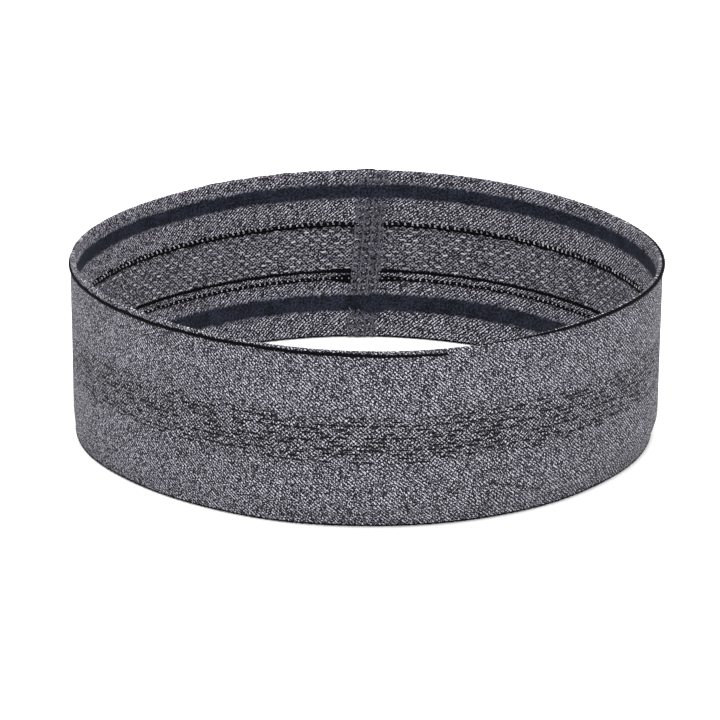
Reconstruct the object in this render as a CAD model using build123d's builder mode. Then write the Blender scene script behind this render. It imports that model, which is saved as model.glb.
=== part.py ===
"""A stretch sports headband: a knitted band closed by a flatlock seam at the back.

Frame: +Z up, origin on the axis of the band at its lower edge, seam towards +Y.
All sizes are in millimetres.
"""

import os
from math import degrees

from build123d import *

# Driving dimensions
band_radius = 74.0  # outside of the knit, relaxed
band_height = 45.0
knit_thickness = 1.2
rim_radius = 0.4  # rounding of the knit's upper and lower rims
butt_gap = 0.3  # between the two cut ends of the knit, inside the seam

# Silicone grip strips on the inner face
strip_proud = 0.8
strip_edge_radius = 0.3
upper_strip_height = 3.9
upper_strip_drop = 3.5  # from the upper rim down to the strip
lower_strip_height = 4.6
lower_strip_rise = 6.7  # from the lower rim up to the strip

# Black float yarns on the inner face, where the stitch changes
float_proud = 0.4
upper_float_width = 1.2
upper_float_drop = 14.6  # from the upper rim down to its middle
lower_float_width = 0.5
lower_float_rise = 15.5  # from the lower rim up to the middle of the lower one
lower_float_pitch = 2.1  # between the middles of the two lower ones

# Black yarns along the two edges, on the outer face
edge_yarn_proud = 0.5
edge_yarn_width = 0.75
edge_yarn_radius = 0.2
top_edge_yarn_drop = 1.2  # from the upper rim down to its middle
bottom_edge_yarn_rise = 0.8  # from the lower rim up to its middle

# Flatlock seam: four needle threads, a looper thread inside, a cover thread outside
needle_count = 4
needle_pitch = 2.1
needle_thread_width = 1.2
needle_thread_proud = 0.45
looper_proud = 0.3
cover_proud = 0.35
seam_end_margin = 0.6  # from each rim to the end of the inner threads
cover_end_gap = 0.3  # from the edge yarns to the ends of the cover thread

# Derived sizes
inner_radius = band_radius - knit_thickness
seam_width = (needle_count - 1) * needle_pitch + needle_thread_width
seam_angle = 90.0  # the back of the head
seam_low = seam_end_margin
seam_high = band_height - seam_end_margin

upper_strip_high = band_height - upper_strip_drop
upper_strip_low = upper_strip_high - upper_strip_height
lower_strip_low = lower_strip_rise
lower_strip_high = lower_strip_low + lower_strip_height

upper_float_middle = band_height - upper_float_drop
top_edge_yarn_middle = band_height - top_edge_yarn_drop
cover_low = bottom_edge_yarn_rise + edge_yarn_width / 2 + cover_end_gap
cover_high = top_edge_yarn_middle - edge_yarn_width / 2 - cover_end_gap


def radial_plane(angle):
    """The upright half-plane at an angle about Z: its x runs outwards, its y runs up."""
    outwards = Vector(1, 0, 0).rotate(Axis.Z, angle)
    return Plane(origin=(0, 0, 0), x_dir=outwards, z_dir=outwards.cross(Vector(0, 0, 1)))


def arc_angle(length, radius):
    """The angle in degrees that an arc of a length takes up at a radius."""
    return degrees(length / radius)


def keep(builder, name):
    """Names a finished piece and writes it to its own file."""
    builder.part.label = name
    export_step(builder.part, f"parts/{name}.step")
    print(f"{name}: {builder.part.volume:.1f} mm3")


os.makedirs("parts", exist_ok=True)

# Knit band: one knitted strip whose two ends butt together at the seam
gap_angle = arc_angle(butt_gap, inner_radius)
with BuildPart() as knit_band:
    with BuildSketch(radial_plane(seam_angle + gap_angle / 2)) as knit_profile:
        with Locations((inner_radius + knit_thickness / 2, band_height / 2)):
            RectangleRounded(knit_thickness, band_height, rim_radius)
    revolve(axis=Axis.Z, revolution_arc=360 - gap_angle)
keep(knit_band, "knit_band")

# Seam: needle threads, side by side across the joint
needle_step = arc_angle(needle_pitch, inner_radius)
needle_span = arc_angle(needle_thread_width, inner_radius)
inner_seam_threads = []
for column in range(needle_count):
    middle_angle = seam_angle + (column - (needle_count - 1) / 2) * needle_step
    with BuildPart() as needle_thread:
        with BuildSketch(radial_plane(middle_angle - needle_span / 2)):
            with Locations((inner_radius - needle_thread_proud / 2, (seam_low + seam_high) / 2)):
                Rectangle(needle_thread_proud, seam_high - seam_low)
        revolve(axis=Axis.Z, revolution_arc=needle_span)
    keep(needle_thread, f"seam_needle_thread_{column + 1}")
    inner_seam_threads.append(needle_thread.part)

# Seam: looper thread, which fills the spaces between the needle threads
with BuildPart() as looper_thread:
    for space in range(needle_count - 1):
        space_angle = seam_angle + (space - (needle_count - 2) / 2) * needle_step
        space_span = needle_step - needle_span
        with BuildSketch(radial_plane(space_angle - space_span / 2)):
            with Locations((inner_radius - looper_proud / 2, (seam_low + seam_high) / 2)):
                Rectangle(looper_proud, seam_high - seam_low)
        revolve(axis=Axis.Z, revolution_arc=space_span)
keep(looper_thread, "seam_looper_thread")
inner_seam_threads.append(looper_thread.part)

# Seam: cover thread, over the joint on the outer face
cover_span = arc_angle(seam_width, band_radius)
with BuildPart() as cover_thread:
    with BuildSketch(radial_plane(seam_angle - cover_span / 2)):
        with Locations((band_radius + cover_proud / 2, (cover_low + cover_high) / 2)):
            Rectangle(cover_proud, cover_high - cover_low)
    revolve(axis=Axis.Z, revolution_arc=cover_span)
keep(cover_thread, "seam_cover_thread")

# Grip strips: silicone printed right round, over the seam's threads
for strip_name, strip_low, strip_high in (
    ("upper_grip_strip", upper_strip_low, upper_strip_high),
    ("lower_grip_strip", lower_strip_low, lower_strip_high),
):
    with BuildPart() as grip_strip:
        with BuildSketch(Plane.XZ) as strip_profile:
            with Locations((inner_radius - strip_proud / 2, (strip_low + strip_high) / 2)):
                Rectangle(strip_proud, strip_high - strip_low)
            fillet(strip_profile.vertices().group_by(Axis.X)[0], strip_edge_radius)
        revolve(axis=Axis.Z)
        for thread in inner_seam_threads:
            add(thread, mode=Mode.SUBTRACT)
    keep(grip_strip, strip_name)

# Float yarns: laid along the inner face from one side of the seam to the other
float_end = arc_angle(seam_width, inner_radius) / 2
for float_name, float_middle, float_width in (
    ("upper_float_yarn", upper_float_middle, upper_float_width),
    ("lower_float_yarn_1", lower_float_rise + lower_float_pitch, lower_float_width),
    ("lower_float_yarn_2", lower_float_rise, lower_float_width),
):
    with BuildPart() as float_yarn:
        with BuildSketch(radial_plane(seam_angle + float_end)):
            with Locations((inner_radius - float_proud / 2, float_middle)):
                Rectangle(float_proud, float_width)
        revolve(axis=Axis.Z, revolution_arc=360 - 2 * float_end)
    keep(float_yarn, float_name)

# Edge yarns: right round the outer face, just inside each rim
for yarn_name, yarn_middle in (
    ("top_edge_yarn", top_edge_yarn_middle),
    ("bottom_edge_yarn", bottom_edge_yarn_rise),
):
    with BuildPart() as edge_yarn:
        with BuildSketch(Plane.XZ) as yarn_profile:
            with Locations((band_radius + edge_yarn_proud / 2, yarn_middle)):
                Rectangle(edge_yarn_proud, edge_yarn_width)
            fillet(yarn_profile.vertices().group_by(Axis.X)[-1], edge_yarn_radius)
        revolve(axis=Axis.Z)
    keep(edge_yarn, yarn_name)
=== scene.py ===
import math

import bpy
import mathutils
import numpy as np
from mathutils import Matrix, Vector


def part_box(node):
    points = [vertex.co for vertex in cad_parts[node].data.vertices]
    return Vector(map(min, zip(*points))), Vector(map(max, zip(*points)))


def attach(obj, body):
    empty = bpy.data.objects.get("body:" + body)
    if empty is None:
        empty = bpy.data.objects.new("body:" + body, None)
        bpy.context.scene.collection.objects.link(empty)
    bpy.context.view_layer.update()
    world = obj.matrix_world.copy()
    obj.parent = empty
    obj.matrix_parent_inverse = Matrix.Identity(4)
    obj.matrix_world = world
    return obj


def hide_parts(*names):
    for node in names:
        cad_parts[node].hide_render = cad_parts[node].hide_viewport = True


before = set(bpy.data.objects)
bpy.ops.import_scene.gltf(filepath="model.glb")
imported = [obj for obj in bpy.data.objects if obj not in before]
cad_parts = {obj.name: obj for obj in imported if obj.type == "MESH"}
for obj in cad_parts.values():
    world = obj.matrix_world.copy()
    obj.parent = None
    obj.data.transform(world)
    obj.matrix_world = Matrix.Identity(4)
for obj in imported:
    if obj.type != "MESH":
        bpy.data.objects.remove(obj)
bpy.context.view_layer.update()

mm = 0.001

# Everything is worked out in millimetres and turned to metres when a mesh is made.
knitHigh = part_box("knit_band")[1]
outerRadius = knitHigh.x / mm
bandHeight = knitHigh.z / mm
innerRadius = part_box("upper_grip_strip")[1].x / mm
wall = outerRadius - innerRadius
bandLength = 2 * math.pi * outerRadius
seamAngle = math.pi / 2


def heights(node):  # lowest and highest point of a frame part, in millimetres
    low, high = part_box(node)
    return low.z / mm, high.z / mm


def smooth(x):
    x = np.clip(x, 0, 1)
    return x * x * (3 - 2 * x)


def ease(x, start, length):  # 0 up to start, then 1 from a length further on
    return smooth((x - start) / length)


def ripple(x, waves):  # a wave is its radians to each unit of x, its height and where it starts
    return sum(height * np.sin(rate * x + start) for rate, height, start in waves)


shape = {
    "oval": (0.0128, 0.0042),      # how much deeper than wide the ring stands, and how much more at its foot
    "square": (0.0134, -0.0051),   # how full it stands at the front, the back and the sides, the same way
    "threefold": -0.0045,
    "footTuck": 2.18,        # mm that the lower edge rolls in at the front and the back
    "footShare": 0.148,      # share of the height where that starts
    "rightTuck": -0.53,      # mm more of it at +X, and at -X
    "leftTuck": -1.87,
    "wave": 0.22,            # mm of slow unevenness round the band
    "waveSlack": 0.45,       # share of it that is left above the foot
    # the waves in it: turns round the ring, height, start in radians, and radians more for each mm up
    "waves": ((3, 1.0, 0.7, 0.0), (7, 0.6, 2.1, 0.05), (13, 0.3, 0.4, 0.0)),
    "seamLean": 1.5,         # mm that the seam leans to +X at the top and back at the foot
    "leanReach": 32.0,       # mm from the seam over which the stitches straighten again
    "seamSwell": 0.32,       # mm that the layered seam stands out of each face
    "seamHalf": 3.9,         # mm, half the seam's width
}


# run goes along the band from the seam, over -X, the front and +X. rise is the height.
# depth goes in from the outer face.
def onBand(run, rise, depth):
    run, rise, depth = np.broadcast_arrays(*(np.asarray(x, float) for x in (run, rise, depth)))
    toSeam = np.minimum(np.abs(run), np.abs(bandLength - run))
    lean = shape["seamLean"] * (2 * rise / bandHeight - 1) * np.exp(-(toSeam / shape["leanReach"]) ** 2)
    angle = seamAngle + (run - lean) / outerRadius
    low = smooth(1 - rise / (shape["footShare"] * bandHeight))
    across = np.cos(angle)
    sideTuck = shape["rightTuck"] * across.clip(0, 1) + shape["leftTuck"] * (-across).clip(0, 1)
    pull = (shape["footTuck"] + sideTuck) * low
    foot = 1 - rise / bandHeight
    oval = shape["oval"][0] + shape["oval"][1] * foot
    square = shape["square"][0] + shape["square"][1] * foot
    ring = 1 - oval * np.cos(2 * angle) + square * np.cos(4 * angle) + shape["threefold"] * np.cos(3 * angle)
    wave = sum(height * np.sin(turns * angle + start + climb * rise)
               for turns, height, start, climb in shape["waves"])
    uneven = shape["wave"] * (shape["waveSlack"] + (1 - shape["waveSlack"]) * low) * wave
    swell = shape["seamSwell"] * np.exp(-(toSeam / shape["seamHalf"]) ** 6) * (1 - 2 * depth / wall)
    radius = outerRadius * ring - pull + uneven - depth + swell
    return np.stack([radius * np.cos(angle), radius * np.sin(angle), rise], -1)


def facingAt(run, inward):  # the way the fabric faces at each point, level
    angle = seamAngle + np.asarray(run, float) / outerRadius
    out = np.stack([np.cos(angle), np.sin(angle), np.zeros_like(angle)], -1)
    return -out if inward else out


def linear(text):  # sRGB hex to the linear colour a shader takes
    parts = [int(text[i:i + 2], 16) / 255 for i in (1, 3, 5)]
    return [p / 12.92 if p <= 0.04045 else ((p + 0.055) / 1.055) ** 2.4 for p in parts] + [1.0]


# Adds a shader node. An input is a value, a socket, or a node that stands for its first socket.
def addNode(tree, kind, inputs=(), **settings):
    node = tree.nodes.new("ShaderNode" + kind)
    for name, value in settings.items():
        setattr(node, name, value)
    for name, value in dict(inputs).items():
        if isinstance(value, bpy.types.Node):
            value = value.outputs[0]
        if isinstance(value, bpy.types.NodeSocket):
            tree.links.new(value, node.inputs[name])
        else:
            node.inputs[name].default_value = value
    return node


def newMaterial(name):
    material = bpy.data.materials.new(name)
    material.use_nodes = True
    material.node_tree.nodes.clear()
    return material, material.node_tree


def setRamp(node, stops):  # stops are pairs of a place and a hex colour
    ramp = node.color_ramp
    while len(ramp.elements) < len(stops):
        ramp.elements.new(0.5)
    for element, (place, colour) in zip(ramp.elements, stops):
        element.position = place
        element.color = linear(colour)
    return node


# Quads from each ring of points to the next. Gives the ring and the side of each quad's four corners, counted
# on past the last one, and the quads themselves.
def ringQuads(rings, sides, closed=True, flipped=False):
    starts = np.meshgrid(np.arange(rings if closed else rings - 1), np.arange(sides), indexing="ij")
    ring, side = (x.reshape(-1, 1) for x in starts)
    toRing, toSide = np.array((0, 0, 1, 1)), np.array((0, 1, 1, 0))
    if flipped:
        toRing, toSide = toSide, toRing
    cornerRing, cornerSide = ring + toRing, side + toSide
    return cornerRing, cornerSide, cornerRing % rings * sides + cornerSide % sides


def buildPiece(name, points, faces, materials, uvs=None, faceMaterials=None, tone=None):
    mesh = bpy.data.meshes.new(name)
    mesh.from_pydata((np.asarray(points) * mm).tolist(), [], faces)
    for layer, values in (uvs or {}).items():
        uv = mesh.uv_layers.new(name=layer)
        uv.data.foreach_set("uv", np.asarray(values, np.float32).ravel())
    if tone is not None:
        attribute = mesh.attributes.new("tone", "FLOAT", "POINT")
        attribute.data.foreach_set("value", np.asarray(tone, np.float32))
    for material in materials:
        mesh.materials.append(material)
    if faceMaterials is not None:
        mesh.polygons.foreach_set("material_index", np.asarray(faceMaterials, np.int32))
    mesh.polygons.foreach_set("use_smooth", np.ones(len(mesh.polygons), bool))
    mesh.update()
    piece = bpy.data.objects.new(name, mesh)
    bpy.context.scene.collection.objects.link(piece)
    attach(piece, "root")
    return piece


# Textured polyester yarn, spun from black, grey and white filaments (melange), knitted and left undyed:
# to the eye a salt-and-pepper grey with a cool cast, matt, paler where it is seen edge-on.
heather = {
    "stops": [(0.0, "#020203"), (0.25, "#121116"), (0.5, "#3c3b43"), (0.75, "#767480"), (1.0, "#b5b3be")],
    "dashColour": "#060608",
    "paintedGapShade": 1.0,              # painted shade: how dark the gaps between stitches are painted
    # Each look's gain is the painted light at the tops of its stitch legs.
    "faceGain": 0.99,
    "backPaintedLight": 1.26,        # painted light: the purl side, inside the ring, is painted brighter where less light reaches it
    "birdseyeGain": 0.81,
    "legChance": 0.55,       # how far single stitches differ in colour
    "speckle": 3.0,          # how strongly dark and pale filaments show against each other
    "patches": 0.20,         # slow drift where the spinning mixed more of one colour in
    "patchScale": 0.16,      # patches to a stitch
    "filamentRelief": 0.35,  # how far filaments stand out, against a leg's height of 1
    "ior": 1.5,
    "roughness": 0.82,
    "specular": 0.15,
    "sheen": 0.03,
    "sheenRoughness": 0.4,
    "sheenColour": "#e8e6ee",
    "bump": 0.10 * mm,
    "bumpStrength": 0.8,
}
stitch = {
    "wale": bandLength / 422,   # mm between columns of stitches, 1.10
    "course": 0.95,             # mm between rows of stitches
    "stagger": 0.5,             # courses that the second leg of a stitch sits off the first
    "wander": 0.8,              # stitches that the columns and rows stray by
    "wanderScale": 0.42,        # how often they do, to a stitch
    # mm that one filament's colour runs, and its width. Real filaments are a tenth as wide and wouldn't show.
    "filament": (0.42, 0.25),
    # How a leg of the stitch shows on each face: mm long, mm wide, and degrees that it turns down from level.
    "outsideLeg": (1.3, 0.52, 50),
    "insideLeg": (1.25, 0.50, 36),
    "birdseyeLeg": (1.5, 0.55, 10),
    "legEdge": (0.72, 0.18),    # shares of that size where a leg ends and where it is at full height
}
# The bird's-eye stitch: a float every third wale, moved half a repeat in each next row. Sizes in stitches.
birdseye = {
    "repeat": 3.0,
    "rowPitch": 1.08,
    "halfLength": 1.20,
    "halfHeight": 0.25,
    "missing": 0.53,
    "tilt": 0.15,
    "dashEdge": (1.15, 0.8),   # shares of its half size where a dash ends and where it is full
    "gapDepth": 1.2,           # how far a gap sinks in the bump, and how far its painted shade darkens it, against a leg's height of 1
    "outerLow": 15.2, "outerHigh": 29.8,   # mm, where it shows outside
    "fade": 3.0,                           # mm over which it comes and goes
    "backRowPitch": 1.18,
    "backHalfLength": 0.66,
    "backHalfHeight": 0.21,
    "backMissing": 0.12,
    "backWander": 0.35,
    "backStops": [(0.0, "#62606b"), (0.5, "#93919c"), (1.0, "#c4c2cd")],
}


# The legs of the stitches, as grains in staggered columns half a wale apart. Gives how much of a leg is here
# and a chance value that is its own.
def drawLegs(tree, wale, course, leg):
    length, width, turn = leg
    doubled = addNode(tree, "Math", {0: wale, 1: 2.0}, operation="MULTIPLY")
    column = addNode(tree, "Math", {0: doubled}, operation="FLOOR")
    stagger = addNode(tree, "Math", {0: column, 1: stitch["stagger"], 2: course}, operation="MULTIPLY_ADD")
    row = addNode(tree, "Math", {0: stagger}, operation="FLOOR")
    cell = addNode(tree, "CombineXYZ", {0: column, 1: row})
    chance = addNode(tree, "TexWhiteNoise", {"Vector": cell}, noise_dimensions="2D")
    place = addNode(tree, "CombineXYZ", {0: doubled, 1: stagger})
    place = addNode(tree, "VectorMath", {0: place}, operation="FRACTION")
    place = addNode(tree, "VectorMath", {0: place, 1: (0.5, 0.5, 0.0)}, operation="SUBTRACT")
    place = addNode(tree, "VectorMath", {
        0: place, 1: (stitch["wale"] / 2, stitch["course"], 0.0),
    }, operation="MULTIPLY")
    laid = addNode(tree, "Mapping", {
        "Vector": place, "Rotation": (0.0, 0.0, -math.radians(turn)), "Scale": (length, width, 1.0),
    }, vector_type="TEXTURE")
    far = addNode(tree, "VectorMath", {0: laid}, operation="LENGTH").outputs["Value"]
    height = addNode(tree, "MapRange", {
        "Value": far, "From Min": stitch["legEdge"][0], "From Max": stitch["legEdge"][1],
    }, interpolation_type="SMOOTHSTEP")
    return height, chance.outputs["Value"]


# Short level dashes in staggered rows, for floats and the gaps they leave. Gives how much of a dash is here
# and a chance value.
def drawDashes(tree, wale, course, rowPitch, halfLength, halfHeight, missing):
    rows = addNode(tree, "Math", {0: course, 1: rowPitch}, operation="DIVIDE")
    row = addNode(tree, "Math", {0: rows}, operation="FLOOR")
    halfRow = addNode(tree, "Math", {0: row, 1: 0.5}, operation="MULTIPLY")
    stagger = addNode(tree, "Math", {0: halfRow}, operation="FRACT")
    repeats = addNode(tree, "Math", {
        0: wale, 1: 1 / birdseye["repeat"], 2: stagger,
    }, operation="MULTIPLY_ADD")
    column = addNode(tree, "Math", {0: repeats}, operation="FLOOR")
    cell = addNode(tree, "CombineXYZ", {0: column, 1: row, 2: 7.0})  # 7 keeps it off the legs' chances
    noise = addNode(tree, "TexWhiteNoise", {"Vector": cell}, noise_dimensions="3D")
    chance = noise.outputs["Value"]
    inColumn = addNode(tree, "Math", {0: repeats}, operation="FRACT")
    x = addNode(tree, "Math", {0: inColumn, 1: 0.5}, operation="SUBTRACT")
    inRow = addNode(tree, "Math", {0: rows}, operation="FRACT")
    y = addNode(tree, "Math", {0: inRow, 1: 0.5}, operation="SUBTRACT")
    tilt = addNode(tree, "Math", {
        0: chance, 1: 2 * birdseye["tilt"], 2: -birdseye["tilt"],
    }, operation="MULTIPLY_ADD")
    y = addNode(tree, "Math", {0: x, 1: tilt, 2: y}, operation="MULTIPLY_ADD")
    place = addNode(tree, "CombineXYZ", {0: x, 1: y})
    place = addNode(tree, "VectorMath", {
        0: place, 1: (birdseye["repeat"] / halfLength, rowPitch / halfHeight, 0.0),
    }, operation="MULTIPLY")
    far = addNode(tree, "VectorMath", {0: place}, operation="LENGTH").outputs["Value"]
    dash = addNode(tree, "MapRange", {
        "Value": far, "From Min": birdseye["dashEdge"][0], "From Max": birdseye["dashEdge"][1],
    }, interpolation_type="SMOOTHSTEP")
    here = addNode(tree, "Math", {0: chance, 1: missing}, operation="GREATER_THAN")
    dash = addNode(tree, "Math", {0: dash, 1: here}, operation="MULTIPLY")
    return dash, chance


def drawBand(tree, course):  # how far this course is into the bird's-eye stitch, outside
    fade = birdseye["fade"] / stitch["course"]
    low, high = birdseye["outerLow"] / stitch["course"], birdseye["outerHigh"] / stitch["course"]
    rising = addNode(tree, "MapRange", {
        "Value": course, "From Min": low, "From Max": low + fade,
    }, interpolation_type="SMOOTHSTEP")
    falling = addNode(tree, "MapRange", {
        "Value": course, "From Min": high, "From Max": high - fade,
    }, interpolation_type="SMOOTHSTEP")
    return addNode(tree, "Math", {0: rising, 1: falling}, operation="MULTIPLY")


# The melange yarn's colour, from its filaments, the leg they are in and the patch. Gives the filaments too.
def drawMelange(tree, uv, placed, chance, turn):
    inMillimetres = addNode(tree, "VectorMath", {
        0: placed, 1: (stitch["wale"], stitch["course"], 0.0),
    }, operation="MULTIPLY")
    laid = addNode(tree, "Mapping", {
        "Vector": inMillimetres, "Rotation": (0.0, 0.0, -math.radians(turn)),
        "Scale": (*stitch["filament"], 1.0),
    }, vector_type="TEXTURE")
    filaments = addNode(tree, "TexNoise", {
        "Vector": laid, "Scale": 1.0, "Detail": 0.0,
    }, noise_dimensions="2D")
    patches = addNode(tree, "TexNoise", {
        "Vector": uv, "Scale": heather["patchScale"], "Detail": 3.0, "Roughness": 0.6,
    }, noise_dimensions="2D")
    mixed = 0.5
    for value, key in ((filaments, "speckle"), (chance, "legChance"), (patches, "patches")):
        part = addNode(tree, "Math", {
            0: value, 1: heather[key], 2: -0.5 * heather[key],
        }, operation="MULTIPLY_ADD")
        mixed = addNode(tree, "Math", {0: part, 1: mixed}, operation="ADD")
    colour = setRamp(addNode(tree, "ValToRGB", {0: mixed}), heather["stops"])
    return colour, filaments


# The knit has three looks: "face" outside, with the bird's-eye stitch round its middle, "back" for the purl
# side, and "backBirdseye" for the floats of the bird's-eye stitch on that side.
def makeKnit(name, look, leg, paintedLightGain):
    material, tree = newMaterial(name)
    uv = addNode(tree, "UVMap", uv_map="stitches")
    wander = addNode(tree, "TexNoise", {
        "Vector": uv, "Scale": stitch["wanderScale"], "Detail": 2.0,
    }).outputs["Color"]
    wander = addNode(tree, "VectorMath", {0: wander, 1: (0.5, 0.5, 0.5)}, operation="SUBTRACT")
    rowWander = birdseye["backWander"] if look == "backBirdseye" else stitch["wander"]
    placed = addNode(tree, "VectorMath", {
        0: wander, 1: (stitch["wander"], rowWander, 0.0), 2: uv,
    }, operation="MULTIPLY_ADD")
    split = addNode(tree, "SeparateXYZ", {0: placed})
    wale, course = split.outputs[0], split.outputs[1]

    height, chance = drawLegs(tree, wale, course, leg)
    yarn, filaments = drawMelange(tree, uv, placed, chance, leg[2])
    if look == "face":   # flatter legs in the bird's-eye stitch, and a short black dash behind each float
        band = drawBand(tree, course)
        flat = drawLegs(tree, wale, course, stitch["birdseyeLeg"])[0]
        height = addNode(tree, "Mix", {"Factor": band, 2: height, 3: flat})
        even = addNode(tree, "SeparateXYZ", {0: uv})
        dash = drawDashes(tree, even.outputs[0], even.outputs[1], birdseye["rowPitch"],
                          birdseye["halfLength"], birdseye["halfHeight"], birdseye["missing"])[0]
        dash = addNode(tree, "Math", {0: dash, 1: band}, operation="MULTIPLY")
        yarn = addNode(tree, "Mix", {
            "Factor": dash, "A": yarn, "B": linear(heather["dashColour"]),
        }, data_type="RGBA").outputs["Result"]
        height = addNode(tree, "Math", {
            0: dash, 1: -birdseye["gapDepth"], 2: height,
        }, operation="MULTIPLY_ADD")
    if look == "backBirdseye":   # the float itself lies on top, pale
        dash, dashChance = drawDashes(tree, wale, course, birdseye["backRowPitch"],
                                      birdseye["backHalfLength"], birdseye["backHalfHeight"],
                                      birdseye["backMissing"])
        pale = setRamp(addNode(tree, "ValToRGB", {0: dashChance}), birdseye["backStops"])
        yarn = addNode(tree, "Mix", {
            "Factor": dash, "A": yarn, "B": pale,
        }, data_type="RGBA").outputs["Result"]
        height = addNode(tree, "Math", {0: dash, 1: height}, operation="MAXIMUM")

    # Painted light and shade: the colour is darkened where the stitch height is low, in the gaps between
    # legs, and scaled by the look's gain at the legs' tops.
    shade = addNode(tree, "MapRange", {
        "Value": height, "To Min": 1 - heather["paintedGapShade"], "To Max": paintedLightGain,
    }, clamp=True)
    colour = addNode(tree, "VectorMath", {0: yarn, "Scale": shade}, operation="SCALE")
    relief = addNode(tree, "Math", {
        0: filaments, 1: heather["filamentRelief"], 2: height,
    }, operation="MULTIPLY_ADD")
    bump = addNode(tree, "Bump", {
        "Height": relief, "Strength": heather["bumpStrength"], "Distance": heather["bump"],
    })
    shader = addNode(tree, "BsdfPrincipled", {
        "Base Color": colour, "Normal": bump, "Roughness": heather["roughness"], "IOR": heather["ior"],
        "Sheen Weight": heather["sheen"], "Sheen Roughness": heather["sheenRoughness"],
        "Sheen Tint": linear(heather["sheenColour"]), "Specular IOR Level": heather["specular"],
    })
    addNode(tree, "OutputMaterial", {0: shader})
    return material


knitMaterials = [
    makeKnit("melangePolyesterJerseyFace", "face", stitch["outsideLeg"], heather["faceGain"]),
    makeKnit("melangePolyesterJerseyBack", "back", stitch["insideLeg"], heather["backPaintedLight"]),
    makeKnit("melangePolyesterBirdseyeBack", "backBirdseye", stitch["birdseyeLeg"], heather["birdseyeGain"]),
]
print("knit materials made")


knit = {
    "columnsPerWale": 4,
    "outerRow": 0.5,         # mm between rows of points outside
    "innerRow": 0.75,
    "rimSteps": 5,
    "legRelief": 0.05,       # mm
    "holeDepth": 0.12,
    "holeSpread": 1.6,       # times as tall as the dash that is drawn in the hole
    "holeEdge": (0.5, 0.9),  # share of its half size where a hole's floor ends, and how far its side runs
    "pieces": {"knit_lower": (0.0, 15.0), "knit_middle": (15.0, 30.0), "knit_upper": (30.0, 45.0)},
    "bakeRows": 4,           # the strip is cut into this many lengths, stacked on its map
    "bakeMargin": 0.4,       # mm kept free round each
}


def legRelief(wale, course):
    staggered = course + stitch["stagger"] * np.floor(2 * wale + 0.01)   # a little over, against rounding
    return (0.5 - 0.5 * np.cos(4 * math.pi * wale)) * (0.5 - 0.5 * np.cos(2 * math.pi * staggered))


def holeRelief(wale, course):
    rows = course / birdseye["rowPitch"]
    repeats = wale / birdseye["repeat"] + (np.floor(rows) / 2) % 1
    x = ((repeats % 1) - 0.5) * birdseye["repeat"] / birdseye["halfLength"]
    y = ((rows % 1) - 0.5) * birdseye["rowPitch"] / (knit["holeSpread"] * birdseye["halfHeight"])
    return 1 - ease(np.hypot(x, y), *knit["holeEdge"])


# Points round the fabric's section: height, depth, the way out of it, the height counted along the fabric
# over the rim, and whether it is on the outer face.
def profileOf(low, high):
    rim = wall / 2
    slight = 0.01   # mm, no more than rounding
    topRim, bottomRim = high > bandHeight - slight, low < slight
    start, end = (low + rim if bottomRim else low), (high - rim if topRim else high)
    rimTurns = [math.pi * k / knit["rimSteps"] for k in range(1, knit["rimSteps"])]
    rows = []
    for z in np.linspace(start, end, int(round((end - start) / knit["outerRow"])) + 1):
        rows.append((z, 0.0, 0.0, -1.0, z, True))
    for turn in rimTurns if topRim else []:
        outZ, outDepth = math.sin(turn), -math.cos(turn)
        over = end + rim * min(turn, math.pi - turn)
        rows.append((end + rim * outZ, rim + rim * outDepth, outZ, outDepth, over, True))
    for z in np.linspace(end, start, int(round((end - start) / knit["innerRow"])) + 1):
        rows.append((z, wall, 0.0, 1.0, z, False))
    for turn in rimTurns if bottomRim else []:
        outZ, outDepth = -math.sin(turn), math.cos(turn)
        under = start - rim * min(turn, math.pi - turn)
        rows.append((start + rim * outZ, rim + rim * outDepth, outZ, outDepth, under, True))
    return (np.array(values) for values in zip(*rows))


def makeKnitPiece(name, low, high):
    z, depth, outZ, outDepth, overRim, isOutside = profileOf(low, high)
    columns = int(round(bandLength / stitch["wale"])) * knit["columnsPerWale"]
    run = np.linspace(0, bandLength, columns + 1)
    wale = run[:-1, None] / stitch["wale"] * np.ones(len(z))
    course = overRim[None, :] / stitch["course"] * np.ones((columns, 1))
    comes = ease(z, birdseye["outerLow"], birdseye["fade"])
    goes = smooth((birdseye["outerHigh"] - z) / birdseye["fade"])
    lift = knit["legRelief"] * legRelief(wale, course)
    lift = lift - knit["holeDepth"] * isOutside * comes * goes * holeRelief(wale, course)
    points = onBand(run[:-1, None], z[None, :] + outZ * lift, depth[None, :] + outDepth * lift)
    points[..., 2] = np.clip(points[..., 2], 0, None)
    cornerColumn, cornerRow, quads = ringQuads(columns, len(z), flipped=True)

    # the profile unrolled, for the maps
    closedZ, closedDepth = np.append(z, z[0]), np.append(depth, depth[0])
    along = np.concatenate([[0], np.cumsum(np.hypot(np.diff(closedZ), np.diff(closedDepth)))])
    courses = np.append(overRim, overRim[0]) / stitch["course"]
    stitches = np.stack([run[cornerColumn] / stitch["wale"], courses[cornerRow]], -1)
    column = cornerColumn[:, :1]
    part = np.minimum(column * knit["bakeRows"] // columns, knit["bakeRows"] - 1)
    partRun = run[cornerColumn] - part * columns // knit["bakeRows"] * run[1]
    partTall = along[-1] + 2 * knit["bakeMargin"]
    partAlong = along[cornerRow] + knit["bakeMargin"] + part * partTall
    baking = np.stack([partRun, partAlong], -1) / (partTall * knit["bakeRows"])
    uvs = {"stitches": stitches.reshape(-1, 2), "OFBake": baking.reshape(-1, 2)}

    row, nextRow = cornerRow[:, 0], cornerRow[:, 2]
    middleZ = (closedZ[row] + closedZ[nextRow]) / 2
    betweenFloats = (middleZ > heights("lower_float_yarn_1")[1]) & (middleZ < heights("upper_float_yarn")[0])
    onFace = isOutside[row] | isOutside[nextRow % len(z)]
    look = np.where(onFace, 0, np.where(betweenFloats, 2, 1))
    piece = buildPiece(name, points.reshape(-1, 3), quads.tolist(), knitMaterials, uvs, look)
    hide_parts("knit_band")


for pieceName, (pieceLow, pieceHigh) in knit["pieces"].items():
    makeKnitPiece(pieceName, pieceLow, pieceHigh)
print("knit band made")


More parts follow.
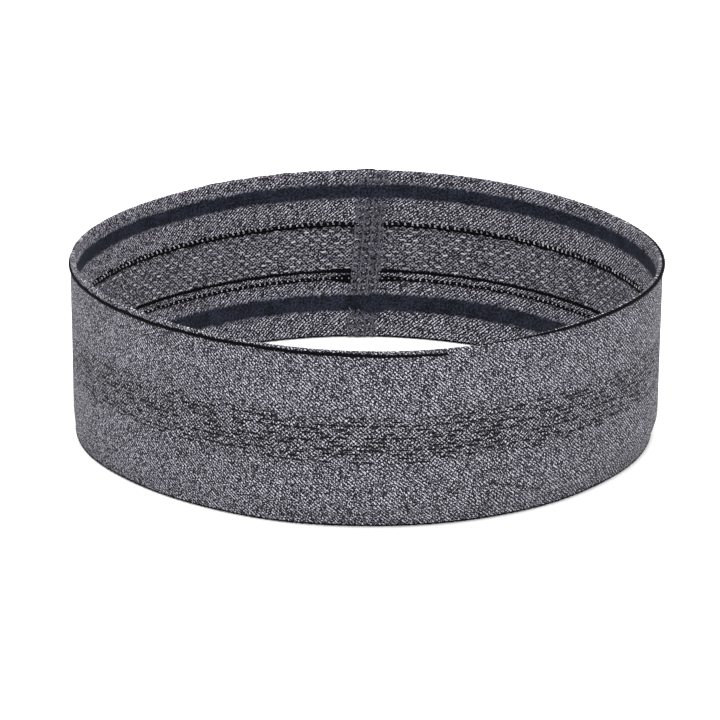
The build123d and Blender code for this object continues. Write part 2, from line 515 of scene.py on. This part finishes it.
# A yarn along a path: across and proud are its half sizes, plies make its twisted strands stand out.
def sweepYarn(path, facing, across, proud, sides=8, plies=2, twist=2.0, ply=0.18, tone=0.5):
    path = np.asarray(path, float)
    count = len(path)
    ahead = np.gradient(path, axis=0)
    ahead /= np.linalg.norm(ahead, axis=1)[:, None]
    outward = facing - (facing * ahead).sum(1)[:, None] * ahead
    outward /= np.maximum(np.linalg.norm(outward, axis=1), 1e-9)[:, None]
    sideways = np.cross(ahead, outward)
    run = np.concatenate([[0], np.cumsum(np.linalg.norm(np.diff(path, axis=0), axis=1))])
    turn = np.linspace(0, 2 * math.pi, sides, endpoint=False)[None, :]
    strands = 1 + ply * np.cos(plies * turn - 2 * math.pi * run[:, None] / twist)
    across, proud = np.broadcast_to(across, count)[:, None], np.broadcast_to(proud, count)[:, None]
    ring = (path[:, None] + sideways[:, None] * (across * strands * np.sin(turn))[..., None]
            + outward[:, None] * (proud * strands * np.cos(turn))[..., None])
    cornerRing, cornerSide, quads = ringQuads(count, sides, closed=False)
    uv = np.stack([run[cornerRing], cornerSide / sides], -1)
    ends = [list(range(sides))[::-1], [(count - 1) * sides + i for i in range(sides)]]
    return ring.reshape(-1, 3), quads.tolist(), ends, uv.reshape(-1, 2), tone


def buildYarns(name, yarns, material, node):
    points, faces, ends, uvs, tones = [], [], [], [], []
    start = 0
    for ring, quads, caps, uv, tone in yarns:
        points.append(ring)
        faces += [[i + start for i in quad] for quad in quads]
        ends += [[i + start for i in cap] for cap in caps]
        uvs.append(uv)
        tones += [tone] * len(ring)
        start += len(ring)
    uvs.append(np.zeros((sum(len(cap) for cap in ends), 2)))
    piece = buildPiece(name, np.concatenate(points), faces + ends, [material],
                       {"yarn": np.concatenate(uvs)}, tone=tones)
    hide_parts(node)


# Textured filament yarn, dope-dyed black and twisted from two plies: a soft black with hardly any shine.
blackYarn = {
    "dark": "#010102", "pale": "#08080a", "roughness": 0.7, "specular": 0.04, "sheen": 0.0,
    "along": 3.2, "fibre": 9.0,   # fibres to a mm along it, and round it
    "bump": 0.05 * mm,
}
# Textured polyester seam thread, air-bulked: dull slate with a purple cast, its loops soft-edged.
seamThread = {
    "dark": "#0a090d", "pale": "#7b7886", "roughness": 0.85, "specular": 0.2, "sheen": 0.06,
    "along": 1.8, "fibre": 2.5,
    "bump": 0.08 * mm,
}
# Loose loops of the melange yarn that hold the floats: the knit's own greys, one tone to each loop.
looseLoop = {
    "dark": "#3c3b42", "pale": "#d9d7df", "roughness": 0.82, "specular": 0.2, "sheen": 0.2,
    "along": 3.2, "fibre": 4.0,
    "bump": 0.05 * mm,
}
# what the three have in common
yarnFinish = {"contrast": 3.4, "detail": 3.0, "fineness": 0.65, "bumpStrength": 0.7, "sheenRoughness": 0.5}


def makeYarnMaterial(name, look):
    material, tree = newMaterial(name)
    uv = addNode(tree, "UVMap", uv_map="yarn")
    laid = addNode(tree, "VectorMath", {0: uv, 1: (look["along"], look["fibre"], 1.0)}, operation="MULTIPLY")
    fibres = addNode(tree, "TexNoise", {
        "Vector": laid, "Scale": 1.0, "Detail": yarnFinish["detail"], "Roughness": yarnFinish["fineness"],
    })
    tone = addNode(tree, "Attribute", attribute_name="tone").outputs["Fac"]
    blend = addNode(tree, "Math", {
        0: fibres, 1: yarnFinish["contrast"], 2: -0.5 * yarnFinish["contrast"],
    }, operation="MULTIPLY_ADD")
    blend = addNode(tree, "Math", {0: blend, 1: tone}, operation="ADD", use_clamp=True)
    colour = addNode(tree, "Mix", {
        "Factor": blend, "A": linear(look["dark"]), "B": linear(look["pale"]),
    }, data_type="RGBA").outputs["Result"]
    bump = addNode(tree, "Bump", {
        "Height": fibres, "Strength": yarnFinish["bumpStrength"], "Distance": look["bump"],
    })
    shader = addNode(tree, "BsdfPrincipled", {
        "Base Color": colour, "Normal": bump, "Roughness": look["roughness"], "Sheen Weight": look["sheen"],
        "Sheen Roughness": yarnFinish["sheenRoughness"], "Specular IOR Level": look["specular"],
    })
    addNode(tree, "OutputMaterial", {0: shader})
    return material


dopeDyedBlackYarn = makeYarnMaterial("dopeDyedBlackFilamentYarn", blackYarn)
airBulkedSeamThread = makeYarnMaterial("airBulkedSlateSeamThread", seamThread)
melangeLoopYarn = makeYarnMaterial("melangePolyesterLooseLoop", looseLoop)

# One yarn in two runs: the lower run lies under the rim from the seam round the left and across the front,
# and the rim run follows the very edge from there round the right. Places are mm from the seam.
topEdge = {
    "step": 0.3,             # mm between points along it
    "rimDrop": 0.25,         # mm under the rim at the seam, round the left, and across the front
    "drop": 1.7,
    "frontDrop": 0.88,
    "sinks": (40, 60),       # where it goes down, and over how many mm
    "climbs": (150, 60),
    "proud": 0.12,           # mm that it stands off the fabric
    "startRun": -0.2,        # where the lower run starts and stops
    "endRun": 251.8,
    "endPart": 28,           # mm over which it sinks and thins towards that end
    "endDrop": 0.32,
    "endThins": 0.32,
    "half": 0.46,            # mm, half its width, and where it hardly shows
    "thinHalf": 0.18,
    "thickens": (75, 35),    # where the lower run starts to show, and over how many mm
    "flatness": 0.7,
    "unsteady": ((0.9, 0.06, 0.0), (0.31, 0.05, 1.0)),
    "restart": 259.0,        # where the yarn comes up again at the rim
    "grows": 42,             # mm over which the rim run reaches its full width
    "leavesRim": 388,        # where it is thin again
    "rimPlace": (0.12, 0.45),   # mm under the rim and in from the face where the rim run starts
    "rimShift": (0.25, 0.55),   # mm further down and out when it has grown
}
edgeYarn = {"twist": 1.8, "tone": 0.2}


def makeTopEdge():
    thin, thicker = topEdge["thinHalf"], topEdge["half"] - topEdge["thinHalf"]
    run = np.arange(topEdge["startRun"], topEdge["endRun"], topEdge["step"])
    lastPart = ease(run, topEdge["endRun"] - topEdge["endPart"], topEdge["endPart"])
    drop = topEdge["rimDrop"] + (topEdge["drop"] - topEdge["rimDrop"]) * ease(run, *topEdge["sinks"])
    drop = drop - (topEdge["drop"] - topEdge["frontDrop"]) * ease(run, *topEdge["climbs"])
    drop = drop + topEdge["endDrop"] * lastPart
    rise = bandHeight - drop + ripple(run, topEdge["unsteady"])
    half = (thin + thicker * ease(run, *topEdge["thickens"])) * (1 - topEdge["endThins"] * lastPart)
    lowerRun = sweepYarn(onBand(run, rise, -topEdge["proud"]), facingAt(run, False),
                         half, topEdge["flatness"] * half, **edgeYarn)

    run = np.arange(topEdge["restart"], bandLength, topEdge["step"])
    grown = ease(run, topEdge["restart"], topEdge["grows"])
    half = thin + thicker * grown * smooth((topEdge["leavesRim"] - run) / topEdge["thickens"][1])
    rise = bandHeight - topEdge["rimPlace"][0] - topEdge["rimShift"][0] * grown
    depth = topEdge["rimPlace"][1] - topEdge["rimShift"][1] * grown
    rimRun = sweepYarn(onBand(run, rise, depth), facingAt(run, False), half, half, **edgeYarn)
    buildYarns("yarn_top_edge", [lowerRun, rimRun], dopeDyedBlackYarn, "top_edge_yarn")


# It wraps the lower edge, so it is deeper than it is tall. Sizes in mm.
bottomEdge = {"step": 0.35, "overlap": 0.2, "rise": 0.36, "half": 0.30, "proud": 0.72, "ply": 0.1}


def makeBottomEdge():
    run = np.arange(0.0, bandLength + bottomEdge["overlap"], bottomEdge["step"])
    yarn = sweepYarn(onBand(run, bottomEdge["rise"], wall / 2), facingAt(run, False),
                     bottomEdge["half"], bottomEdge["proud"], ply=bottomEdge["ply"], **edgeYarn)
    buildYarns("yarn_bottom_edge", [yarn], dopeDyedBlackYarn, "bottom_edge_yarn")


makeTopEdge()
makeBottomEdge()
print("edge yarns made")

floats = {
    "step": 0.3,
    "standOff": 0.10,        # mm from the fabric to the middle of a float
    "tone": 0.15,
    "bunchLength": 7.0,      # mm from the seam where the cut tails gather
    "farBunch": 0.5,         # share of it at the far side of the seam
    "slackFrom": 45.0,       # mm from the seam, where the floats lie looser and wider
    "underSeam": 0.4,        # mm that their ends reach in under the seam
    "wobbles": ((0.83, 1.0, 0.0), (2.3, 0.6, 1.1)),
    "upper": {
        "node": "upper_float_yarn", "half": 0.68, "proud": 0.26, "twist": 2.2, "ply": 0.20,
        "wobble": 0.12, "bunch": 0.0, "sides": 0.20,
    },
    "lower_1": {
        "node": "lower_float_yarn_1", "half": 0.40, "proud": 0.24, "twist": 1.6, "ply": 0.10,
        "wobble": 0.04, "bunch": 0.25, "sides": 0.14,
    },
    "lower_2": {
        "node": "lower_float_yarn_2", "half": 0.44, "proud": 0.24, "twist": 1.6, "ply": 0.16,
        "wobble": 0.06, "bunch": 0.75, "sides": 0.04,
    },
}
floatStart = shape["seamHalf"] - floats["underSeam"]
floatEnd = bandLength - floatStart


def makeFloat(key):
    one = floats[key]
    run = np.arange(floatStart, floatEnd, floats["step"])
    rise = sum(heights(one["node"])) / 2 + one["wobble"] * ripple(run, floats["wobbles"])
    reach = floats["bunchLength"]
    bunched = 1 - ease(run, floatStart, reach) + floats["farBunch"] * ease(run, floatEnd - reach, reach)
    slack = ease(np.minimum(run, bandLength - run), floats["slackFrom"], floats["slackFrom"])
    half = one["half"] + one["bunch"] * bunched + one["sides"] * slack
    yarn = sweepYarn(onBand(run, rise, wall + floats["standOff"]), facingAt(run, True), half, one["proud"],
                     twist=one["twist"], ply=one["ply"], tone=floats["tone"])
    buildYarns("yarn_float_" + key, [yarn], dopeDyedBlackYarn, one["node"])


# Hairpins of the melange yarn over two of the floats. Spacing is in wales, the rest in mm.
loops = {
    "upper": {
        "spacing": 1.5, "above": 0.78, "below": 0.22, "wide": 0.15, "leaning": 0.42,
        "radius": 0.070, "crown": 0.42,
    },
    "lower_2": {
        "spacing": 1.5, "above": 0.45, "below": 0.20, "wide": 0.10, "leaning": 0.20,
        "radius": 0.065, "crown": 0.36,
    },
}
hairpin = {
    "points": 13,
    "offPlace": 0.12,        # mm that loops sit off their even spacing
    "standOff": 0.02,
    # the least and the most of each size above that a loop takes
    "aboveShare": (0.7, 1.1), "belowShare": (0.1, 1.1), "leanShare": (0.3, 1.2),
    "tone": (0.15, 0.80),
    "blunt": 0.7,            # lower is blunter at the top
    "twist": 0.9, "ply": 0.1,
}


def makeHairpins():
    chance = np.random.default_rng(11)
    turn = np.linspace(0, math.pi, hairpin["points"])
    climb = np.sin(turn) ** hairpin["blunt"]   # 0 at the two feet, 1 at the top
    yarns = []
    for key, one in loops.items():
        middleRise = sum(heights(floats[key]["node"])) / 2
        spacing = one["spacing"] * stitch["wale"]
        for i in range(int((floatEnd - floatStart) / spacing)):
            centre = floatStart + (i + 0.5) * spacing + chance.normal(0, hairpin["offPlace"])
            above = one["above"] * chance.uniform(*hairpin["aboveShare"])
            below = one["below"] * chance.uniform(*hairpin["belowShare"])
            lean = one["leaning"] * chance.uniform(*hairpin["leanShare"])
            run = centre + one["wide"] * np.cos(turn) + lean * climb
            rise = middleRise - below + (above + below) * climb
            depth = wall + hairpin["standOff"] + one["crown"] * (1 - np.abs(2 * climb - 1) ** 3)
            radius, tone = one["radius"], chance.uniform(*hairpin["tone"])
            yarns.append(sweepYarn(onBand(run, rise, depth), facingAt(run, True), radius, radius, sides=6,
                                   twist=hairpin["twist"], ply=hairpin["ply"], tone=tone))
    buildYarns("knit_tuck_loops", yarns, melangeLoopYarn, "knit_band")


for key in ("upper", "lower_1", "lower_2"):
    makeFloat(key)
makeHairpins()
print("floats made")

seam = {
    "margin": 0.35,          # mm left bare at each rim
    "pitch": 2.2,            # mm, the stitch length
    "columns": (-3.15, -1.05, 1.05, 3.15),
    "loopHalf": 0.58,        # mm, half the width of a needle loop
    "loopTall": 0.82,
    "loopDepth": (0.24, 0.13),   # mm off the inner face, and how far that changes where it crosses itself
    "crossAt": 0.4,          # radians
    "loopPoints": 22,        # for each stitch
    "loopWobble": (3.1, 0.10),   # radians to a stitch, and mm
    "openStitches": 0.6,     # left out at the top end
    "needleHalf": 0.22,      # mm, half the width of a needle thread
    "needleTwist": 1.3,
    "needleTone": 0.42,
    "outerPoints": 16,
    "outerWobble": (2.7, 0.06),
    "outerStart": 0.5,       # mm
    "outerProud": 0.26,
    "plungeDepth": 0.55,     # mm that the needle thread goes in at each hole
    "plungeShare": 0.10,     # of a stitch that it takes
    "looperStep": 1.1,       # mm that the looper climbs each time it crosses
    "looperReach": 3.55,
    "looperHalf": 0.26,
    "looperProud": 0.2,
    "looperTwist": 1.5,
    "looperPoints": 14,
    "looperRound": 0.985,    # 1 gives the zigzag sharp turns
    "looperSlack": 0.92,     # share of its reach that the rounded turns leave
    "looper": {"depth": wall + 0.05, "tone": 0.1},
    "cover": {"depth": -0.04, "tone": 0.4},
}
seamRise = (seam["margin"], bandHeight - seam["margin"])


def makeNeedleThread(number, column):
    stitchCount = (seamRise[1] - seamRise[0]) / seam["pitch"] - seam["openStitches"]
    thread = {"twist": seam["needleTwist"], "tone": seam["needleTone"]}
    half = seam["needleHalf"]
    t = np.arange(0, stitchCount, 1 / seam["loopPoints"])
    run = column + seam["loopHalf"] * np.sin(2 * math.pi * t) + ripple(t, [(*seam["loopWobble"], number)])
    rise = seamRise[0] + seam["loopTall"] + seam["pitch"] * t - seam["loopTall"] * np.cos(2 * math.pi * t)
    depth = wall + seam["loopDepth"][0] + seam["loopDepth"][1] * np.sin(4 * math.pi * t + seam["crossAt"])
    inner = sweepYarn(onBand(run, rise, depth), facingAt(run, True), half, half, **thread)
    t = np.arange(0, stitchCount, 1 / seam["outerPoints"])
    run = column + ripple(t, [(*seam["outerWobble"], number)])
    rise = seamRise[0] + seam["outerStart"] + seam["pitch"] * t
    plunge = np.exp(-((t - np.round(t)) / seam["plungeShare"]) ** 2)
    depth = seam["plungeDepth"] * plunge - seam["outerProud"]
    outer = sweepYarn(onBand(run, rise, depth), facingAt(run, False), half, half, **thread)
    buildYarns(f"thread_needle_{number}", [inner, outer], airBulkedSeamThread,
               f"seam_needle_thread_{number}")


def makeZigzag(key, node, inward):  # the looper thread inside and the cover thread outside
    t = np.arange(0, (seamRise[1] - seamRise[0]) / seam["looperStep"], 1 / seam["looperPoints"])
    reach = seam["looperReach"] / seam["looperSlack"]
    run = reach * 2 / math.pi * np.arcsin(seam["looperRound"] * np.sin(math.pi * t))
    rise = seamRise[0] + seam["looperStep"] * t
    thread = sweepYarn(onBand(run, rise, seam[key]["depth"]), facingAt(run, inward), seam["looperHalf"],
                       seam["looperProud"], twist=seam["looperTwist"], tone=seam[key]["tone"])
    buildYarns("thread_" + key, [thread], airBulkedSeamThread, node)


for number, column in enumerate(seam["columns"], 1):
    makeNeedleThread(number, column)
makeZigzag("looper", "seam_looper_thread", True)
makeZigzag("cover", "seam_cover_thread", False)
print("seam made")

# Screen-printed silicone, tinted navy and cured on the knit: satin, nearly black, with the stitches showing
# faintly through and grey knit showing where the print thins out at its edges.
silicone = {
    "body": "#020306",
    "through": "#272b39",    # where the stitches show through
    "cloud": "#04050c",      # the thicker patches
    "bareDark": "#08080c",   # the knit between the broken edges of the print
    "barePale": "#7f7e8b",
    "roughness": 0.55,
    "specular": 0.12,
    "ior": 1.41,
    "printBump": 0.10 * mm,
    "bumpStrength": 0.5,
    "grain": 0.55,           # mm of stitch that shows through, coarser than the filaments
    "clouds": 5.0,           # mm across the thicker and thinner patches of the print
    "cloudShare": 0.3,       # how far the patches change what shows through
    "grainBreaks": 0.9,      # how far the grain breaks up the thin edge
    # the values between which each of these comes in
    "thickAt": (0.4, 0.65), "throughAt": (0.56, 0.84), "paleAt": (0.45, 1.25), "bareAt": (0.7, 1.35),
}


# The point attribute "tone" says how thin the print is.
def makeSilicone(name):
    material, tree = newMaterial(name)
    uv = addNode(tree, "UVMap", uv_map="stitches")
    tone = addNode(tree, "Attribute", attribute_name="tone").outputs["Fac"]
    inMillimetres = addNode(tree, "VectorMath", {
        0: uv, 1: (stitch["wale"], stitch["course"], 0.0),
    }, operation="MULTIPLY")
    grain = addNode(tree, "TexNoise", {
        "Vector": inMillimetres, "Scale": 1 / silicone["grain"], "Detail": 2.0, "Roughness": 0.7,
    }, noise_dimensions="2D")
    clouds = addNode(tree, "TexNoise", {
        "Vector": inMillimetres, "Scale": 1 / silicone["clouds"], "Detail": 3.0,
    }, noise_dimensions="2D")
    split = addNode(tree, "SeparateXYZ", {0: uv})
    height, legChance = drawLegs(tree, split.outputs[0], split.outputs[1], stitch["insideLeg"])

    thick = addNode(tree, "MapRange", {
        "Value": clouds, "From Min": silicone["thickAt"][0], "From Max": silicone["thickAt"][1],
    })
    base = addNode(tree, "Mix", {
        "Factor": thick, "A": linear(silicone["body"]), "B": linear(silicone["cloud"]),
    }, data_type="RGBA").outputs["Result"]
    shows = addNode(tree, "Math", {0: clouds, 1: silicone["cloudShare"], 2: grain}, operation="MULTIPLY_ADD")
    shows = addNode(tree, "MapRange", {
        "Value": shows, "From Min": silicone["throughAt"][0], "From Max": silicone["throughAt"][1],
    })
    colour = addNode(tree, "Mix", {
        "Factor": shows, "A": base, "B": linear(silicone["through"]),
    }, data_type="RGBA").outputs["Result"]

    # where the print is thin the stitches under it show, and it breaks up between them
    seen = addNode(tree, "Math", {0: height, 1: legChance, 2: grain}, operation="MULTIPLY_ADD")
    seen = addNode(tree, "MapRange", {
        "Value": seen, "From Min": silicone["paleAt"][0], "From Max": silicone["paleAt"][1],
    })
    bare = addNode(tree, "Mix", {
        "Factor": seen, "A": linear(silicone["bareDark"]), "B": linear(silicone["barePale"]),
    }, data_type="RGBA").outputs["Result"]
    broken = addNode(tree, "Math", {0: grain, 1: silicone["grainBreaks"], 2: tone}, operation="MULTIPLY_ADD")
    broken = addNode(tree, "MapRange", {
        "Value": broken, "From Min": silicone["bareAt"][0], "From Max": silicone["bareAt"][1],
    })
    colour = addNode(tree, "Mix", {
        "Factor": broken, "A": colour, "B": bare,
    }, data_type="RGBA").outputs["Result"]
    relief = addNode(tree, "Math", {0: grain, 1: height}, operation="ADD")
    bump = addNode(tree, "Bump", {
        "Height": relief, "Strength": silicone["bumpStrength"], "Distance": silicone["printBump"],
    })
    shader = addNode(tree, "BsdfPrincipled", {
        "Base Color": colour, "Normal": bump, "Roughness": silicone["roughness"], "IOR": silicone["ior"],
        "Specular IOR Level": silicone["specular"],
    })
    addNode(tree, "OutputMaterial", {0: shader})
    return material


navySilicone = makeSilicone("screenPrintedNavySilicone")

strips = {
    "columnStep": 0.55,      # mm between sections
    "sectionPoints": 14,
    "proud": 0.42,           # mm that the print stands off the knit
    "sunk": 0.05,            # mm that the strip's edges sink into the knit
    "root": (0.6, 0.3),      # mm in from its edges, and under the face, where its hidden side lies
    "spread": 0.40,          # mm that the thin edge of the print runs out past the strip
    "thinEdge": 1.0,         # mm over which it thins out
    "edgeThinness": 0.9,
    "squareness": 0.85,      # lower is squarer
    "edgeWobble": 0.10,      # mm
    "wobbles": ((0.37, 1.0, 2.0), (1.13, 0.7, 0.0), (3.1, 0.4, 0.0)),
    "lowWobble": 0.4, "highWobble": 0.5,   # shares of it at the lower and the upper edge
    "ragged": 0.13,          # mm that the print's edge creeps from stitch to stitch
    "sideFrom": (45, 35),    # mm from the seam where the print thins towards the sides, and over how many
    "rightShare": 0.6,       # share of that thinning at +X
    "overSeam": 0.24,        # mm that the print rises over the seam's threads
    "overSeamHalf": 4.6,     # mm
    "foldProud": 0.30,       # mm that the print's end rises where it lies on its start
    "foldThickness": 0.35,   # how much thicker it looks there
    "foldEdge": 0.8,         # mm
    "overlapAt": (bandLength - 6.0, bandLength - 0.4),   # mm, where the print's end lies on its start
    "upper": {"node": "upper_grip_strip", "thinning": 0.06, "overlap": 0.0},
    "lower": {"node": "lower_grip_strip", "thinning": 0.40, "overlap": 1.0},
}
creep = np.random.default_rng(5)


def makeStrip(key):
    one = strips[key]
    low, high = heights(one["node"])
    columns = int(bandLength / strips["columnStep"])
    run = np.linspace(0, bandLength, columns + 1)
    toSeam = np.minimum(run, bandLength - run)
    turn = np.linspace(0, math.pi, strips["sectionPoints"])
    upDown = (np.sign(np.cos(turn)) * np.abs(np.cos(turn)) ** strips["squareness"])[None, :]
    outIn = (np.abs(np.sin(turn)) ** strips["squareness"])[None, :]

    edge = strips["edgeWobble"] * ripple(run, strips["wobbles"])
    lowEdge, highEdge = strips["ragged"] * creep.normal(size=(2, columns + 1))
    lowEdge[-1], highEdge[-1], edge[-1] = lowEdge[0], highEdge[0], edge[0]
    bottom = low - strips["spread"] + strips["lowWobble"] * edge + lowEdge
    top = high + strips["spread"] + strips["highWobble"] * edge + highEdge
    halfTall = (top - bottom)[:, None] / 2

    foldStart, foldEnd = strips["overlapAt"]
    fold = one["overlap"] * ease(run, foldStart, strips["foldEdge"])
    fold = fold * smooth((foldEnd - run) / strips["foldEdge"])
    overSeam = np.exp(-(toSeam / strips["overSeamHalf"]) ** 6)
    sideShare = np.where(run < bandLength / 2, 1.0, strips["rightShare"])
    sideways = one["thinning"] * ease(toSeam, *strips["sideFrom"]) * sideShare
    fromEdge = halfTall * (1 - np.abs(upDown))
    thin = strips["edgeThinness"] * (1 - smooth(fromEdge / strips["thinEdge"]))
    thin = thin + (sideways - strips["foldThickness"] * fold)[:, None]
    proud = strips["proud"] + strips["foldProud"] * fold + strips["overSeam"] * overSeam

    rise = (bottom + top)[:, None] / 2 - halfTall * upDown
    depth = wall - strips["sunk"] + proud[:, None] * outIn
    inEdge, under = strips["root"]
    rise = np.concatenate([rise, rise[:, -1:] - inEdge, rise[:, :1] + inEdge], 1)
    depth = np.concatenate([depth, np.full((len(run), 2), wall - under)], 1)
    thin = np.concatenate([thin, np.ones((len(run), 2))], 1)
    section = rise.shape[1]
    points = onBand(run[:-1, None], rise[:-1], depth[:-1])
    cornerColumn, cornerRow, quads = ringQuads(columns, section)
    stitches = np.stack([run[cornerColumn] / stitch["wale"],
                         rise[cornerColumn, cornerRow % section] / stitch["course"]], -1)
    piece = buildPiece("silicone_" + key, points.reshape(-1, 3), quads.tolist(), [navySilicone],
                       {"stitches": stitches.reshape(-1, 2)}, tone=thin[:-1].ravel())
    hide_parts(one["node"])


makeStrip("upper")
makeStrip("lower")
print("grip strips made")

studio = {
    "floorSize": 9.0,        # m
    "floorDrop": 0.1 * mm,
    "floorColour": "#f8f8f8",
    "floorRoughness": 0.9, "floorSpecular": 0.1,
    "skyColour": "#ffffff",
    "skyStrength": 0.88,
    "overhead": {"size": 1.6, "place": (0, 0.1, 1.5), "power": 38.0},
    "front": {"size": 1.2, "place": (0.08, -1.5, 0.85), "power": 17.0},
}
middle = mathutils.Vector((0, 0, bandHeight / 2 * mm))


def makeFloor():
    mesh = bpy.data.meshes.new("floor")
    half = studio["floorSize"] / 2
    corners = [(-half, -half, 0), (half, -half, 0), (half, half, 0), (-half, half, 0)]
    mesh.from_pydata(corners, [], [(0, 1, 2, 3)])
    floor = bpy.data.objects.new("floor", mesh)
    floor.location.z = -studio["floorDrop"]
    bpy.context.scene.collection.objects.link(floor)
    # Painted studio board: rolled matt emulsion, an even near-white with no visible grain.
    paintedBoard, tree = newMaterial("mattPaintedStudioBoard")
    shader = addNode(tree, "BsdfPrincipled", {
        "Base Color": linear(studio["floorColour"]), "Roughness": studio["floorRoughness"],
        "Specular IOR Level": studio["floorSpecular"],
    })
    addNode(tree, "OutputMaterial", {0: shader})
    mesh.materials.append(paintedBoard)


def makeSky():
    world = bpy.data.worlds.new("studioSky")
    world.use_nodes = True
    world.node_tree.nodes.clear()
    sky = addNode(world.node_tree, "Background", {
        "Color": linear(studio["skyColour"]), "Strength": studio["skyStrength"],
    })
    addNode(world.node_tree, "OutputWorld", {0: sky})
    bpy.context.scene.world = world


def addSoftbox(name, box):
    light = bpy.data.lights.new(name, "AREA")
    light.size = box["size"]
    light.energy = box["power"]
    lamp = bpy.data.objects.new(name, light)
    lamp.location = box["place"]
    lamp.rotation_mode = "QUATERNION"
    lamp.rotation_quaternion = (middle - mathutils.Vector(box["place"])).to_track_quat("-Z", "Y")
    bpy.context.scene.collection.objects.link(lamp)


view = {
    "elevation": 18.43,      # degrees
    "distance": 1.554,       # m, to the middle of the band, and as far as the camera sees
    "reach": 50.0,
    "lens": 309.5,           # mm, on the sensor below
    "sensor": 36.0,
    "roll": 0.54,            # degrees
    "right": -1.74,          # mm that the aim is moved across and up, to set the band in the frame
    "up": -4.57,
}


def addCamera():
    tilt = math.radians(view["elevation"])
    back = mathutils.Vector((0, -math.cos(tilt), math.sin(tilt)))
    upward = mathutils.Vector((0, math.sin(tilt), math.cos(tilt)))
    aim = middle + mathutils.Vector((1, 0, 0)) * view["right"] * mm + upward * view["up"] * mm
    data = bpy.data.cameras.new("camera")
    data.lens = view["lens"]
    data.sensor_width = view["sensor"]
    data.clip_end = view["reach"]
    camera = bpy.data.objects.new("camera", data)
    camera.location = aim + back * view["distance"]
    camera.rotation_mode = "QUATERNION"
    roll = mathutils.Quaternion((0, 0, 1), math.radians(view["roll"]))
    camera.rotation_quaternion = (-back).to_track_quat("-Z", "Y") @ roll
    bpy.context.scene.collection.objects.link(camera)
    bpy.context.scene.camera = camera


makeFloor()
makeSky()
addSoftbox("overheadSoftbox", studio["overhead"])
addSoftbox("frontSoftbox", studio["front"])
addCamera()
bpy.context.scene.view_settings.view_transform = "Standard"
print("studio made")
